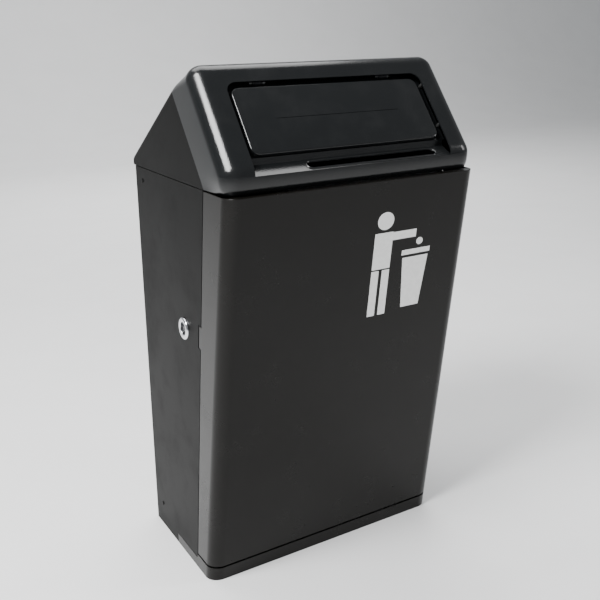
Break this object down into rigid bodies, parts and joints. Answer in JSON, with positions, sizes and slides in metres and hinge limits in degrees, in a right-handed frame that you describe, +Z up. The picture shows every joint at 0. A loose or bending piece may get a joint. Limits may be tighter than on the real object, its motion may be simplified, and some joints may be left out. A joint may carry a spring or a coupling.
{
  "type": "wall litter bin",
  "caption": "Wall litter bin of folded sheet metal with a sloping hood, an inward push flap, a stubbing ledge over an ash tray, a locked front door and a lift-out liner.",
  "frame": {"origin": "middle of the bounding box at the level of the base", "axes": "+X to the right seen from the front, -Y out of the front, +Z up"},
  "size_m": [0.356, 0.3118, 0.6691],
  "materials": {
    "black_paint": "semi-gloss black powder coat with fine orange peel",
    "zinc": "galvanised, dull spangle",
    "steel": "bright zinc plated",
    "chrome": "polished",
    "dark_steel": "oiled",
    "rubber": "matt",
    "white_film": "cut vinyl film"
  },
  "bodies": {
    "body": {"body_shell": "black_paint", "base_tray": "black_paint", "front_rail": "black_paint", "hood_cover": "black_paint", "hood_fascia": "black_paint", "ash_ledge": "black_paint", "ash_tray": "zinc", "flap_brackets": "black_paint", "flap_stops": "rubber", "lock_housing": "chrome", "lock_nut": "zinc", "side_rivets": "black_paint", "door_buffers": "rubber", "hinge_body_leaves": "steel", "hinge_body_nuts": "zinc", "hinge_pins": "steel", "liner": "zinc"},
    "door": {"door_skin": "black_paint", "door_stiffener": "zinc", "hinge_door_leaves": "steel", "hinge_door_nuts": "zinc", "strike_bracket": "zinc", "strike_pin": "steel", "pictogram": "white_film"},
    "flap": {"flap": "black_paint", "flap_rod": "steel", "rod_clips": "steel", "flap_springs": "dark_steel"},
    "lock": {"lock_spindle": "dark_steel", "lock_cam": "zinc", "cam_screw": "steel"},
    "bail": {"liner_bail": "steel"}
  },
  "joints": [
    {"name": "door_hinge", "type": "hinge", "parent": "body", "child": "door", "pos_m": [0.175, -0.002, 0], "axis": [0, -0.1589, 0.9873], "range_deg": [0, 105]},
    {"name": "flap_hinge", "type": "hinge", "parent": "body", "child": "flap", "pos_m": [0, -0.06052, 0.64573], "axis": [1, 0, 0], "range_deg": [0, 55], "stiffness_Nm_per_rad": 0.25, "springref_deg": -45.84},
    {"name": "lock_turn", "type": "hinge", "parent": "body", "child": "lock", "pos_m": [-0.175, -0.003, 0.337], "axis": [-1, 0, 0], "range_deg": [0, 90]},
    {"name": "bail_swing", "type": "hinge", "parent": "body", "child": "bail", "pos_m": [0, 0.0505, 0.4409], "axis": [1, 0, 0], "range_deg": [0, 90]}
  ]
}
